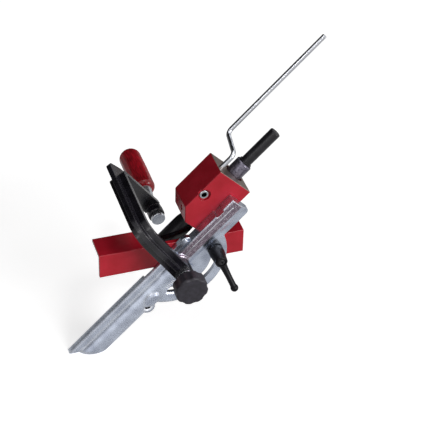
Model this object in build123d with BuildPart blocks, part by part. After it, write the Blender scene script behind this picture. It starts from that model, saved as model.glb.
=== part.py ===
from build123d import *
import os
from math import cos, radians, sin

os.makedirs("parts", exist_ok=True)

# Frame: the origin is the fence rail's inside corner, where the drilling axis meets the work's top face.
# X runs right along the rail, Y away from the user through the work, Z up. All sizes are in millimetres.
# U runs up the drilling axis and V across it, up to the left.

# Fits between pieces
gap = 0.3            # between faces that move past each other
running = 0.05       # radial, a shaft in its hole
loose = 0.1          # round a piece that swivels
past = 1.0           # how far a cut runs past the face it opens
edge_break = 0.6     # small chamfer on turned pieces

# Fence rail, an angle that sits on the work's corner
rail_left = -104.0
rail_length = 184.0
rail_wall = 4.0
rail_top_width = 30.5      # inside, over the work's top face
rail_front_drop = 29.5     # inside, down the work's front face
rail_corner_radius = 1.2
notch_left = -40.0
notch_right = 36.0
notch_strip = 2.0          # what stays of the top leg, behind the inside corner
notch_radius = 4.0

# Pivot bolt and locking stud, both fixed through the rail's front leg
pivot_x = -8.0
pivot_z = -16.5
pivot_bolt_radius = 5.0
pivot_head_flare = 4.0
bolt_tip_chamfer = 1.0
pivot_socket = 6.0         # across the flats
pivot_socket_depth = 2.6
stud_circle_radius = 49.8
stud_angle = 2.0
stud_radius = 4.0
stud_length = 19.0
stud_head_flare = 3.5
stud_socket = 5.0
stud_socket_depth = 2.6

# Swing arm, one aluminium casting; heights are measured from Y = 0 towards the user
drill_angle = 45.0
arm_seat = rail_wall + gap
plate_thickness = 6.0
quadrant_x = -12.0
quadrant_radius = 68.5
quadrant_start = -108.0
quadrant_sweep = 128.0
slot_clearance = 0.7
slot_start = -101.5
slot_sweep = 105.0
bar_start = -16.0
bar_end = 87.5
bar_left = 3.0
bar_right = -32.0
bar_front = 18.0
bar_face_right = -13.0
bar_end_radius = 7.0
bar_edge = 1.5
bar_slope = 0.25
bar_notch_start = 58.0
bar_notch_length = 12.0
bar_notch_depth = 2.2
bar_notch_round = 1.5
bar_ridge_v = -4.8
bar_ridge_start = -5.0
bar_ridge_end = 80.0
bar_ridge_width = 1.4
bar_ridge_height = 0.5
shoulder_start = -14.0
shoulder_end = 10.0
shoulder_crest = -6.0
shoulder_foot = 7.0
lower_end_z = -141.0
lower_left = 4.5
lower_right = -33.5
lower_flange_front = 9.5
lower_flange_inner = -4.5
lower_rib_crest = -18.5
lower_rib_front = 18.5
lower_rib_foot = -31.5
lower_top_u = -12.0
casting_wall = 4.0
casting_edge = 1.0
limb_reach = 240.0
skirt_front = 0.6
skirt_top_u = -64.0
core_top_u = -52.0
hub_radius = 12.5
hub_height = 22.0
hub_edge = 1.5
hub_lobe_u = 6.0
hub_lobe_v = -1.0
hub_lobe_radius = 10.0
hub_lobe_front = 10.5
boss_u = -92.0
boss_v = -26.5
boss_radius = 9.5
boss_front = 13.5
boss_shoulder = 2.0
boss_shoulder_width = 1.0
boss_spot_radius = 6.5
boss_hole_radius = 3.4
hump_u = -79.0
hump_v = -19.0
hump_radius = 8.0
hump_half_length = 12.0
hump_front = 20.5
hump_edge = 2.8

# Guide block and its bore
block_top_u = 104.2
block_low_u = 26.0
block_side_wall = 5.15
block_back_wall = 2.65
block_rod_wall = 4.5
block_cut_u_minus_v = 5.0
block_edge = 0.8
bore_v = 0.0
bore_y = 22.5
bore_radius = 12.55
bore_chamfer = 0.6
block_stud_radius = 3.0
block_stud_length = 18.0
block_stud_in_arm = 8.0
block_stud_v = -7.0
block_stud_low_u = 46.0
block_stud_from_end = 3.5

# Depth rod and the screw that holds it
rod_radius = 3.0
rod_v = 29.5
rod_y = 11.0
rod_low_u = 45.0
rod_above_block = 22.8
rod_crank_y = 50.5
rod_crank_length = 6.6
rod_end_u = 300.0
rod_bend_radius = 8.0
set_screw_u = 68.4
set_screw_radius = 5.9
set_screw_recess_margin = 2.1
set_screw_recess_depth = 3.0
set_screw_front = 3.3
set_screw_point = 1.0
set_screw_socket = 6.0
set_screw_socket_depth = 5.0

# Guide sleeve and boring bit
sleeve_low_u = 60.0
sleeve_shoulder_sunk = 6.2
sleeve_above_block = 19.0
sleeve_neck_radius = 10.65
sleeve_chamfer = 1.2
shank_radius = 7.2
shank_above_sleeve = 53.8
shank_ring_width = 1.6
shank_ring_stand = 1.4
shank_groove_depth = 0.8
cutter_clearance = 0.2
cutter_low_u = -34.0
cutter_lead = 154.0
cutter_flute_radius = 8.5
cutter_flute_offset = 14.6
cutter_nose_length = 7.0
lead_screw_radius = 3.2
lead_screw_length = 10.0
lead_screw_point = 0.5
cutter_relief = 1.0
cutter_end_slope = 2.0
cutter_collar = 6.0
shank_edge = 1.0

# Clamp frame, one iron casting in a plane that leans to the left of upright
lean = 34.3
frame_width = 22.0
frame_flange = 7.0
frame_web = 6.0
frame_fillet = 2.4
front_leg_y = -40.5
spine_s = 92.0
rear_top_y = 73.0
rear_low_y = 93.5
rear_low_s = 5.0
front_bend_radius = 20.0
rear_bend_radius = 9.0
web_front_height = 13.5    # of the web, over the flange's middle
web_spine_height = 17.0
web_rear_height = 12.5
web_foot_height = 8.5
web_foot_margin = 6.0
web_knee_drop = 30.0
web_turn_height = 12.0
web_rear_top_drop = 20.0
web_rear_foot_rise = 22.0
web_foot_radius = 4.0
web_knee_radius = 20.0
web_front_radius = 30.0
web_rear_radius = 15.0
web_turn_radius = 16.0
eye_radius = 12.0
eye_front = 46.0
screw_boss_radius = 10.5
screw_boss_rear_radius = 9.3
screw_boss_ahead = 16.0    # of the rear leg's foot
screw_boss_behind = 5.5
screw_boss_straight = 9.0
screw_boss_edge = 1.0
washer_thickness = 2.0
washer_radius = 11.0

# Clamp screw, pad and handle
screw_radius = 5.0
screw_tip_step = 1.0
screw_behind_boss = 14.0
tang_radius = 3.5
pad_length = 7.7
pad_radius = 9.0
pad_rim = 3.5
pad_edge = 0.8
pad_shoulder = 1.0
pad_neck_radius = 7.0
pad_floor = 2.6
ring_thickness = 1.2
ring_behind_face = 4.6
ring_groove_depth = 0.9
ring_seat_depth = 1.2
handle_length = 82.0
handle_radius = 15.0
handle_near_round = 7.0
handle_far_round = 9.5
handle_waist = 0.4
handle_belly_radius = 60.0
ferrule_length = 20.0      # ahead of the wood
ferrule_on_screw = 1.0
ferrule_wall = 1.4
ferrule_radius = 8.6
ferrule_in_handle = 8.0
ferrule_rim = 1.0
ferrule_edge = 0.8
end_washer_radius = 5.5
end_washer_thickness = 1.0
end_washer_sunk = 0.6
rivet_flare = 0.9
rivet_crown_flare = 0.3
rivet_edge = 0.7
rivet_height = 1.0

# Knob
knob_radius = 20.5
knob_lobes = 8
knob_first_scallop = 9.0
knob_scallop_radius = 12.0
knob_scallop_depth = 1.3
knob_lobe_round = 4.0
knob_hub_radius = 11.0
knob_hub_length = 11.0
knob_length = 26.4
knob_edge = 3.0
insert_radius = 8.0
insert_length = 18.0
bolt_in_insert = 17.4

# Clamping lever
lever_angle = -68.5
lever_washer_radius = 7.6
lever_washer_thickness = 1.2
lever_insert_wall = 2.0
lever_insert_front = 26.0
lever_hub_front = 36.0
lever_hub_base_radius = 9.5
lever_hub_base_length = 5.0
lever_hub_top_radius = 7.6
lever_hub_edge = 1.2
lever_reach = 41.0
lever_tip_height = 42.5
lever_tip_radius = 4.1
lever_arm_stations = ((3.0, 25.5, 6.2), (13.0, 29.5, 4.7), (27.0, 36.0, 3.9))  # reach, height, radius
lever_ball_radius = 5.0
lever_screw_radius = 2.5
lever_screw_clearance = 0.2
lever_screw_behind = 2.5   # between the stud's end and the screw's
lever_screw_head_radius = 4.3
lever_screw_head_clearance = 0.4
lever_screw_head_back = 33.0
lever_screw_sunk = 0.6
lever_screw_socket = 3.0
lever_screw_socket_depth = 1.6
lever_shoulder = 2.0
lever_spring_wire = 0.45
lever_spring_turns = 3.0


def uv_to_xyz(u, v, y):
    # A point given along and across the drilling axis
    a = radians(drill_angle)
    return (u * cos(a) - v * sin(a), y, u * sin(a) + v * cos(a))


def front_plane(height):
    # Faces the user, height in front of Y = 0: local x runs right, local y up
    return Plane(origin=(0, -height, 0), x_dir=(1, 0, 0), z_dir=(0, -1, 0))


def arm_plane(height):
    # As front_plane, but turned so that local x is U and local y is V
    return Plane(origin=(0, -height, 0), x_dir=uv_to_xyz(1, 0, 0), z_dir=(0, -1, 0))


def arm_section(u):
    # Square to the drilling axis at u: local x is V, local y the height towards the user
    return Plane(origin=uv_to_xyz(u, 0, 0), x_dir=uv_to_xyz(0, 1, 0), z_dir=uv_to_xyz(1, 0, 0))


def depth_section(x, z):
    # Through an axis that runs front to back: local x is the radius, local y is Y
    return Plane(origin=(x, 0, z), x_dir=(1, 0, 0), z_dir=(0, 0, 1))


def axis_section(v, y):
    # Through an axis along U: local x is U, local y is Y
    return Plane(origin=uv_to_xyz(0, v, y), x_dir=uv_to_xyz(1, 0, 0), z_dir=uv_to_xyz(0, 1, 0))


def half_section(plane, points):
    # Half section of a turned piece
    with BuildSketch(plane) as half:
        with BuildLine():
            Polyline(*points, close=True)
        make_face()
    return half.sketch


def tube_points(inner, outer, start, end):
    return [(inner, start), (outer, start), (outer, end), (inner, end)]


def finish_part(piece, name):
    # Names the piece and writes it
    piece.part.label = name
    export_step(piece.part, "parts/" + name + ".step")
    print(name, round(piece.part.volume, 1))


# Axes and places that several pieces share
angle = radians(drill_angle)
pivot_u = pivot_x * cos(angle) + pivot_z * sin(angle)
pivot_v = pivot_z * cos(angle) - pivot_x * sin(angle)
stud_x = pivot_x + stud_circle_radius * cos(radians(stud_angle))
stud_z = pivot_z + stud_circle_radius * sin(radians(stud_angle))
pivot_axis = Axis((pivot_x, 0, pivot_z), (0, 1, 0))
stud_axis = Axis((stud_x, 0, stud_z), (0, 1, 0))
pivot_head_radius = pivot_bolt_radius + pivot_head_flare
stud_head_radius = stud_radius + stud_head_flare
pivot_section = depth_section(pivot_x, pivot_z)
stud_section = depth_section(stud_x, stud_z)
drill_axis = Axis(uv_to_xyz(0, bore_v, bore_y), uv_to_xyz(1, 0, 0))
drill_section = axis_section(bore_v, bore_y)
plate_front = arm_seat + plate_thickness
block_right = bore_v - bore_radius - block_side_wall
block_left = rod_v + rod_radius + block_rod_wall
block_depth = arm_seat + bore_y + bore_radius + block_back_wall
block_stud_positions = (block_stud_low_u, bar_end - block_stud_from_end)
rod_first_bend_u = block_top_u + rod_above_block
rod_second_bend_u = rod_first_bend_u + rod_crank_length
sleeve_shoulder_u = block_top_u - sleeve_shoulder_sunk
sleeve_top_u = block_top_u + sleeve_above_block
shank_top_u = sleeve_top_u + shank_above_sleeve
shank_ring_radius = shank_radius + shank_ring_stand
cutter_radius = bore_radius - cutter_clearance
eye_back = hub_height + washer_thickness + gap
knob_washer_back = eye_front + gap
knob_back = knob_washer_back + washer_thickness + gap
knob_front = knob_back + knob_length
pivot_bolt_length = knob_back + bolt_in_insert
screw_boss_front_y = rear_low_y - screw_boss_ahead
screw_boss_rear_y = rear_low_y + screw_boss_behind
screw_tip_radius = screw_radius - screw_tip_step
screw_rear_y = screw_boss_rear_y + screw_behind_boss
pad_back_y = screw_boss_front_y - gap
pad_face_y = pad_back_y - pad_length
ring_y = pad_face_y + ring_behind_face
ring_groove_radius = screw_tip_radius - ring_groove_depth
ring_seat_radius = screw_tip_radius + ring_seat_depth
ferrule_front_y = screw_rear_y - ferrule_on_screw
ferrule_tip_radius = screw_radius + ferrule_wall
handle_near_y = ferrule_front_y + ferrule_length
handle_far_y = handle_near_y + handle_length
lever_washer_back = plate_front + gap
lever_insert_back = lever_washer_back + lever_washer_thickness
lever_hub_back = lever_insert_back + gap
lever_insert_radius = stud_radius + lever_insert_wall
lever_screw_end = stud_length + lever_screw_behind
frame_plane = Plane(
    origin=(pivot_x, 0, pivot_z),
    x_dir=(0, 1, 0),
    z_dir=(cos(radians(lean)), 0, sin(radians(lean))),
)


# Fence rail: an angle, notched at the back where the bit enters the work
with BuildPart() as fence_rail:
    with BuildSketch(Plane.YZ.offset(rail_left)):
        with BuildLine():
            Polyline(
                (-rail_wall, -rail_front_drop),
                (0, -rail_front_drop),
                (0, 0),
                (rail_top_width, 0),
                (rail_top_width, rail_wall),
                (-rail_wall, rail_wall),
                close=True,
            )
        make_face()
    extrude(amount=rail_length)
    outer_corner = fence_rail.edges().filter_by(Axis.X).group_by(Axis.Z)[-1].sort_by(Axis.Y)[0]
    fillet(outer_corner, radius=rail_corner_radius)
    with BuildSketch(Plane.XY):
        with BuildLine():
            FilletPolyline(
                (notch_left, rail_top_width + past),
                (notch_left, notch_strip),
                (notch_right, notch_strip),
                (notch_right, rail_top_width + past),
                radius=notch_radius,
            )
            Line((notch_right, rail_top_width + past), (notch_left, rail_top_width + past))
        make_face()
    extrude(amount=rail_wall, mode=Mode.SUBTRACT)
    bolt_seat = [
        (0, 0),
        (pivot_head_radius, 0),
        (pivot_bolt_radius, -rail_wall),
        (0, -rail_wall),
    ]
    revolve(half_section(pivot_section, bolt_seat), axis=pivot_axis, mode=Mode.SUBTRACT)
    stud_seat = [
        (0, 0),
        (stud_head_radius, 0),
        (stud_radius, -rail_wall),
        (0, -rail_wall),
    ]
    revolve(half_section(stud_section, stud_seat), axis=stud_axis, mode=Mode.SUBTRACT)
finish_part(fence_rail, "fence_rail")

# Pivot bolt: a countersunk bolt, flush with the rail's inside face
with BuildPart() as pivot_bolt:
    bolt_points = [
        (0, 0),
        (pivot_head_radius, 0),
        (pivot_bolt_radius, -rail_wall),
        (pivot_bolt_radius, -pivot_bolt_length + bolt_tip_chamfer),
        (pivot_bolt_radius - bolt_tip_chamfer, -pivot_bolt_length),
        (0, -pivot_bolt_length),
    ]
    revolve(half_section(pivot_section, bolt_points), axis=pivot_axis)
    with BuildSketch(front_plane(0)):
        with Locations((pivot_x, pivot_z)):
            RegularPolygon(radius=pivot_socket / 2, side_count=6, major_radius=False)
    extrude(amount=pivot_socket_depth, mode=Mode.SUBTRACT)
finish_part(pivot_bolt, "pivot_bolt")

# Lever stud: the same kind of bolt, in the arc slot
with BuildPart() as lever_stud:
    stud_points = [
        (0, 0),
        (stud_head_radius, 0),
        (stud_radius, -rail_wall),
        (stud_radius, -stud_length + bolt_tip_chamfer),
        (stud_radius - bolt_tip_chamfer, -stud_length),
        (0, -stud_length),
    ]
    revolve(half_section(stud_section, stud_points), axis=stud_axis)
    with BuildSketch(front_plane(0)):
        with Locations((stud_x, stud_z)):
            RegularPolygon(radius=stud_socket / 2, side_count=6, major_radius=False)
    extrude(amount=stud_socket_depth, mode=Mode.SUBTRACT)
finish_part(lever_stud, "lever_stud")

# Hollow of the swing arm's lower part, open to the back
with BuildPart() as arm_core:
    with BuildSketch(arm_section(core_top_u)):
        with BuildLine():
            Polyline(
                (lower_rib_foot + casting_wall, 0),
                (lower_left - casting_wall, 0),
                (lower_left - casting_wall, lower_flange_front - casting_wall),
                (lower_flange_inner - casting_edge, lower_flange_front - casting_wall),
            )
            ThreePointArc(
                (lower_flange_inner - casting_edge, lower_flange_front - casting_wall),
                (lower_rib_crest, lower_rib_front - casting_wall),
                (lower_rib_foot + casting_wall, lower_flange_front - casting_wall),
            )
            Line(
                (lower_rib_foot + casting_wall, lower_flange_front - casting_wall),
                (lower_rib_foot + casting_wall, 0),
            )
        make_face()
    extrude(amount=-limb_reach)
    split(bisect_by=Plane.XY.offset(lower_end_z + casting_wall), keep=Keep.TOP)

# Swing arm: lower limb, raised bar, pivot hub, slotted quadrant and side boss in one casting
with BuildPart() as swing_arm:
    with BuildSketch(arm_section(lower_top_u)):
        with BuildLine():
            Polyline(
                (lower_right, arm_seat),
                (lower_left, arm_seat),
                (lower_left, lower_flange_front - casting_edge),
                (lower_left - casting_edge, lower_flange_front),
                (lower_flange_inner, lower_flange_front),
            )
            ThreePointArc(
                (lower_flange_inner, lower_flange_front),
                (lower_rib_crest, lower_rib_front),
                (lower_rib_foot, lower_flange_front),
            )
            Polyline(
                (lower_rib_foot, lower_flange_front),
                (lower_right, arm_seat + casting_edge),
                (lower_right, arm_seat),
            )
        make_face()
    extrude(amount=-limb_reach)
    with BuildSketch(arm_plane(skirt_front)):
        with Locations(((skirt_top_u - limb_reach) / 2, (lower_left + lower_right) / 2)):
            Rectangle(skirt_top_u + limb_reach, lower_left - lower_right)
    extrude(amount=arm_seat - skirt_front)
    split(bisect_by=Plane.XY.offset(lower_end_z), keep=Keep.TOP)

    with BuildSketch(arm_plane(arm_seat)):
        with Locations((hump_u, hump_v)):
            Circle(hump_radius)
        with Locations((boss_u, boss_v)):
            Circle(boss_radius - boss_shoulder_width)
        make_hull()
    extrude(amount=boss_front - boss_shoulder - arm_seat)
    with BuildSketch(arm_plane(arm_seat)):
        with Locations((hump_u, hump_v)):
            Ellipse(hump_half_length, hump_radius)
    extrude(amount=hump_front - arm_seat)
    hump_face = swing_arm.faces().sort_by_distance(uv_to_xyz(hump_u, hump_v, -hump_front))[0]
    fillet(hump_face.edges(), radius=hump_edge)

    with BuildSketch(front_plane(arm_seat)):
        with BuildLine():
            rim = CenterArc((quadrant_x, pivot_z), quadrant_radius, quadrant_start, quadrant_sweep)
            Line((pivot_x, pivot_z), rim @ 0)
            Line(rim @ 1, (pivot_x, pivot_z))
        make_face()
    extrude(amount=plate_thickness)

    with BuildSketch(arm_section(bar_start)):
        with BuildLine():
            Polyline(
                (bar_right, arm_seat),
                (bar_left, arm_seat),
                (bar_left, bar_front - bar_edge),
                (bar_left - bar_edge, bar_front),
                (bar_face_right, bar_front),
            )
            Spline(
                (bar_face_right, bar_front),
                (bar_right, plate_front),
                tangents=((-1, -bar_slope), (-1, 0)),
            )
            Line((bar_right, plate_front), (bar_right, arm_seat))
        make_face()
    extrude(amount=bar_end - bar_start)
    bar_tip = (
        swing_arm.edges()
        .filter_by(Axis.Y)
        .filter_by_position(Axis.Z, 20, 90)
        .sort_by(Axis.Z)
    )
    fillet(bar_tip[0], radius=bar_end_radius)

    with BuildSketch(arm_plane(arm_seat)):
        with Locations((pivot_u, pivot_v)):
            Circle(hub_radius)
        with Locations((hub_lobe_u, hub_lobe_v)):
            Circle(hub_lobe_radius)
        make_hull()
    extrude(amount=hub_lobe_front - arm_seat)
    with BuildSketch(arm_section(shoulder_start)):
        Polygon(
            (shoulder_crest, arm_seat),
            (shoulder_foot, arm_seat),
            (shoulder_foot, hub_lobe_front),
            (shoulder_crest, bar_front),
            align=None,
        )
    extrude(amount=shoulder_end - shoulder_start)
    with BuildSketch(arm_plane(arm_seat)):
        with Locations((pivot_u, pivot_v)):
            Circle(hub_radius)
    extrude(amount=hub_height - arm_seat)
    hub_face = swing_arm.faces().sort_by_distance((pivot_x, -hub_height, pivot_z))[0]
    fillet(hub_face.edges(), radius=hub_edge)
    with BuildSketch(arm_plane(bar_front)):
        with Locations(((bar_ridge_start + bar_ridge_end) / 2, bar_ridge_v)):
            SlotOverall(bar_ridge_end - bar_ridge_start, bar_ridge_width)
    extrude(amount=bar_ridge_height)

    add(arm_core.part, mode=Mode.SUBTRACT)
    with BuildSketch(arm_plane(skirt_front)):
        with Locations((boss_u, boss_v)):
            Circle(boss_radius)
    extrude(amount=boss_front - skirt_front)
    with BuildSketch(front_plane(0)):
        with BuildLine() as slot_path:
            CenterArc((pivot_x, pivot_z), stud_circle_radius, slot_start, slot_sweep)
        SlotArc(slot_path.edge(), height=2 * (stud_radius + slot_clearance))
    extrude(amount=plate_front + past, mode=Mode.SUBTRACT)
    with BuildSketch(arm_plane(0)):
        with Locations((bar_notch_start + bar_notch_length / 2, bar_left)):
            RectangleRounded(bar_notch_length, 2 * bar_notch_depth, radius=bar_notch_round)
    extrude(amount=bar_front + past, mode=Mode.SUBTRACT)
    with BuildSketch(front_plane(0)):
        with Locations((pivot_x, pivot_z)):
            Circle(pivot_bolt_radius + running)
    extrude(amount=hub_height + past, mode=Mode.SUBTRACT)
    with BuildSketch(arm_plane(boss_front)):
        with Locations((boss_u, boss_v)):
            Circle(boss_spot_radius)
    extrude(amount=hump_front - boss_front, mode=Mode.SUBTRACT)
    with BuildSketch(arm_plane(0)):
        with Locations((boss_u, boss_v)):
            Circle(boss_hole_radius)
    extrude(amount=boss_front + past, mode=Mode.SUBTRACT)
    with BuildSketch(arm_plane(0)):
        with Locations([(u, block_stud_v) for u in block_stud_positions]):
            Circle(block_stud_radius)
    extrude(amount=arm_seat + block_stud_in_arm, mode=Mode.SUBTRACT)
finish_part(swing_arm, "swing_arm")

# Guide block: a steel bar, bored along the drilling axis
with BuildPart() as guide_block:
    cut_v = block_low_u - block_cut_u_minus_v
    with BuildSketch(arm_plane(arm_seat)):
        with BuildLine():
            Polyline(
                (block_top_u, block_right),
                (block_top_u, block_left),
                (block_left + block_cut_u_minus_v, block_left),
                (block_low_u, cut_v),
                (block_low_u, block_right),
                close=True,
            )
        make_face()
    extrude(amount=-block_depth)
    chamfer(guide_block.edges(), length=block_edge)
    with BuildSketch(arm_section(block_low_u - past)):
        with Locations((bore_v, -bore_y)):
            Circle(bore_radius)
    extrude(amount=block_top_u - block_low_u + 2 * past, mode=Mode.SUBTRACT)
    bore_rims = guide_block.edges().filter_by(GeomType.CIRCLE)
    chamfer(bore_rims, length=bore_chamfer)
    with BuildSketch(arm_section(0)):
        with Locations((rod_v, -rod_y)):
            Circle(rod_radius + running)
    extrude(amount=block_top_u + past, mode=Mode.SUBTRACT)
    with BuildSketch(arm_plane(arm_seat)):
        with Locations((set_screw_u, rod_v)):
            Circle(set_screw_radius + set_screw_recess_margin)
    extrude(amount=-set_screw_recess_depth, mode=Mode.SUBTRACT)
    with BuildSketch(arm_plane(arm_seat)):
        with Locations((set_screw_u, rod_v)):
            Circle(set_screw_radius + running)
    extrude(amount=-(arm_seat + rod_y), mode=Mode.SUBTRACT)
    with BuildSketch(arm_plane(arm_seat)):
        with Locations([(u, block_stud_v) for u in block_stud_positions]):
            Circle(block_stud_radius)
    extrude(amount=-(block_stud_length - block_stud_in_arm), mode=Mode.SUBTRACT)
finish_part(guide_block, "guide_block")

# Two threaded studs join the block to the back of the bar
with BuildPart() as block_studs:
    with BuildSketch(arm_plane(arm_seat + block_stud_in_arm)):
        with Locations([(u, block_stud_v) for u in block_stud_positions]):
            Circle(block_stud_radius)
    extrude(amount=-block_stud_length)
finish_part(block_studs, "block_studs")

# Depth rod: round bar with a double bend that carries it out behind the drilling axis
with BuildPart() as depth_rod:
    with BuildLine(axis_section(rod_v, 0)) as rod_path:
        FilletPolyline(
            (rod_low_u, rod_y),
            (rod_first_bend_u, rod_y),
            (rod_second_bend_u, rod_crank_y),
            (rod_end_u, rod_crank_y),
            radius=rod_bend_radius,
        )
    with BuildSketch(arm_section(rod_low_u)):
        with Locations((rod_v, -rod_y)):
            Circle(rod_radius)
    sweep(path=rod_path.line)
    chamfer(depth_rod.edges().filter_by(GeomType.CIRCLE).sort_by(Axis.Z)[-1], length=edge_break)
finish_part(depth_rod, "depth_rod")

# Set screw that grips the depth rod, with a hexagon socket
with BuildPart() as rod_set_screw:
    screw_x, screw_y, screw_z = uv_to_xyz(set_screw_u, rod_v, 0)
    screw_tip = rod_y - rod_radius - gap
    screw_points = [
        (0, -set_screw_front),
        (set_screw_radius - edge_break, -set_screw_front),
        (set_screw_radius, -set_screw_front + edge_break),
        (set_screw_radius, screw_tip - set_screw_point),
        (set_screw_radius - set_screw_point, screw_tip),
        (0, screw_tip),
    ]
    set_screw_axis = Axis((screw_x, 0, screw_z), (0, 1, 0))
    revolve(half_section(depth_section(screw_x, screw_z), screw_points), axis=set_screw_axis)
    with BuildSketch(arm_plane(set_screw_front)):
        with Locations((set_screw_u, rod_v)):
            RegularPolygon(radius=set_screw_socket / 2, side_count=6, major_radius=False)
    extrude(amount=-set_screw_socket_depth, mode=Mode.SUBTRACT)
finish_part(rod_set_screw, "rod_set_screw")

# Guide sleeve: slides in the bore, with a turned-down neck above the block
with BuildPart() as guide_sleeve:
    sleeve_bore = shank_radius + running
    sleeve_body = bore_radius - running
    sleeve_points = [
        (sleeve_low_u, sleeve_bore),
        (sleeve_low_u, sleeve_body - edge_break),
        (sleeve_low_u + edge_break, sleeve_body),
        (sleeve_shoulder_u - edge_break, sleeve_body),
        (sleeve_shoulder_u, sleeve_neck_radius),
        (sleeve_top_u - sleeve_chamfer, sleeve_neck_radius),
        (sleeve_top_u, sleeve_neck_radius - sleeve_chamfer),
        (sleeve_top_u, sleeve_bore),
    ]
    revolve(half_section(drill_section, sleeve_points), axis=drill_axis)
finish_part(guide_sleeve, "guide_sleeve")

# Cutter section: two deep flutes leave a web and two lands
with BuildSketch(arm_section(cutter_low_u)) as cutter_section:
    with Locations((bore_v, -bore_y)):
        Circle(cutter_radius)
    with Locations((bore_v - cutter_flute_offset, -bore_y), (bore_v + cutter_flute_offset, -bore_y)):
        Circle(cutter_flute_radius, mode=Mode.SUBTRACT)
cutter_length = sleeve_low_u - gap - cutter_collar - cutter_low_u
cutter_twist = 360 * cutter_length / cutter_lead
twisted_cutter = Solid.extrude_linear_with_rotation(
    cutter_section.sketch.faces()[0],
    center=uv_to_xyz(cutter_low_u, bore_v, bore_y),
    normal=Vector(*uv_to_xyz(1, 0, 0)) * cutter_length,
    angle=cutter_twist,
)

# Boring bit: shank, spiral cutter and lead screw in one piece
with BuildPart() as boring_bit:
    add(twisted_cutter)
    groove_low = sleeve_top_u + gap
    groove_high = groove_low + shank_ring_width
    cutter_top = cutter_low_u + cutter_length
    nose_low = cutter_low_u - cutter_nose_length
    web_radius = cutter_flute_offset - cutter_flute_radius
    collar_radius = cutter_radius - cutter_relief
    bit_points = [
        (nose_low - lead_screw_length, 0),
        (nose_low - lead_screw_length, lead_screw_point),
        (nose_low, lead_screw_radius),
        (cutter_low_u, collar_radius),
        (cutter_low_u + cutter_end_slope, web_radius),
        (cutter_top - cutter_end_slope, web_radius),
        (cutter_top, collar_radius),
        (cutter_top + cutter_collar, collar_radius),
        (cutter_top + cutter_collar, shank_radius),
        (groove_low, shank_radius),
        (groove_low, shank_radius - shank_groove_depth),
        (groove_high, shank_radius - shank_groove_depth),
        (groove_high, shank_radius),
        (shank_top_u - shank_edge, shank_radius),
        (shank_top_u, shank_radius - shank_edge),
        (shank_top_u, 0),
    ]
    revolve(half_section(drill_section, bit_points), axis=drill_axis)
finish_part(boring_bit, "boring_bit")

# Snap ring that keeps the sleeve on the shank
with BuildPart() as shank_ring:
    ring_points = [
        (groove_low, shank_radius - shank_groove_depth),
        (groove_low, shank_ring_radius),
        (groove_high, shank_ring_radius),
        (groove_high, shank_radius - shank_groove_depth),
    ]
    revolve(half_section(drill_section, ring_points), axis=drill_axis)
finish_part(shank_ring, "shank_ring")

# Clamp frame: a T section bent round the work, with its eye on the pivot and a boss for the screw
with BuildPart() as clamp_frame:
    web_front_y = front_leg_y - web_front_height
    web_spine_s = spine_s + web_spine_height
    web_rear_y = rear_low_y + web_rear_height
    with BuildSketch(frame_plane) as flange_sketch:
        with BuildLine() as flange_path:
            FilletPolyline(
                (front_leg_y, -eye_radius / 2),
                (front_leg_y, spine_s),
                (rear_top_y, spine_s),
                (rear_low_y, rear_low_s),
                radius=(front_bend_radius, rear_bend_radius),
            )
        SlotArc(flange_path.wire(), height=frame_flange)
    extrude(amount=frame_width / 2, both=True)
    with BuildSketch(frame_plane):
        with BuildLine():
            FilletPolyline(
                (front_leg_y, eye_radius / 2),
                (front_leg_y - web_foot_height, eye_radius + web_foot_margin),
                (web_front_y, spine_s - web_knee_drop),
                (web_front_y, web_spine_s),
                (rear_top_y + web_turn_height, web_spine_s),
                (web_rear_y, spine_s - web_rear_top_drop),
                (web_rear_y, rear_low_s + web_rear_foot_rise),
                (rear_low_y, rear_low_s),
                radius=(
                    web_foot_radius,
                    web_knee_radius,
                    web_front_radius,
                    web_rear_radius,
                    web_turn_radius,
                    web_turn_radius,
                ),
            )
            Line((rear_low_y, rear_low_s), (front_leg_y, eye_radius / 2))
        make_face()
        with BuildLine():
            FilletPolyline(
                (front_leg_y, eye_radius / 2),
                (front_leg_y, spine_s),
                (rear_top_y, spine_s),
                (rear_low_y, rear_low_s),
                radius=(front_bend_radius, rear_bend_radius),
            )
            Line((rear_low_y, rear_low_s), (front_leg_y, eye_radius / 2))
        make_face(mode=Mode.SUBTRACT)
    extrude(amount=frame_web / 2, both=True)
    with BuildSketch(front_plane(eye_back)):
        with Locations((pivot_x, pivot_z)):
            Circle(eye_radius)
    extrude(amount=eye_front - eye_back)
    boss_points = [
        (0, screw_boss_front_y),
        (screw_boss_radius - screw_boss_edge, screw_boss_front_y),
        (screw_boss_radius, screw_boss_front_y + screw_boss_edge),
        (screw_boss_radius, screw_boss_front_y + screw_boss_straight),
        (screw_boss_rear_radius, screw_boss_rear_y),
        (0, screw_boss_rear_y),
    ]
    revolve(half_section(pivot_section, boss_points), axis=pivot_axis)
    bolt_hole = tube_points(0, pivot_bolt_radius + running, -eye_front - past, -eye_back + past)
    revolve(half_section(pivot_section, bolt_hole), axis=pivot_axis, mode=Mode.SUBTRACT)
    knob_spot = tube_points(0, eye_radius, -knob_front, -eye_front)
    revolve(half_section(pivot_section, knob_spot), axis=pivot_axis, mode=Mode.SUBTRACT)
    screw_hole = tube_points(0, screw_radius + running, screw_boss_front_y - past, handle_near_y)
    revolve(half_section(pivot_section, screw_hole), axis=pivot_axis, mode=Mode.SUBTRACT)
finish_part(clamp_frame, "clamp_frame")

# Flat washer between the swing arm's hub and the clamp frame's eye
with BuildPart() as arm_washer:
    washer_points = tube_points(
        pivot_bolt_radius + running, washer_radius, -eye_back, -eye_back + washer_thickness
    )
    revolve(half_section(pivot_section, washer_points), axis=pivot_axis)
finish_part(arm_washer, "arm_washer")

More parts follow.
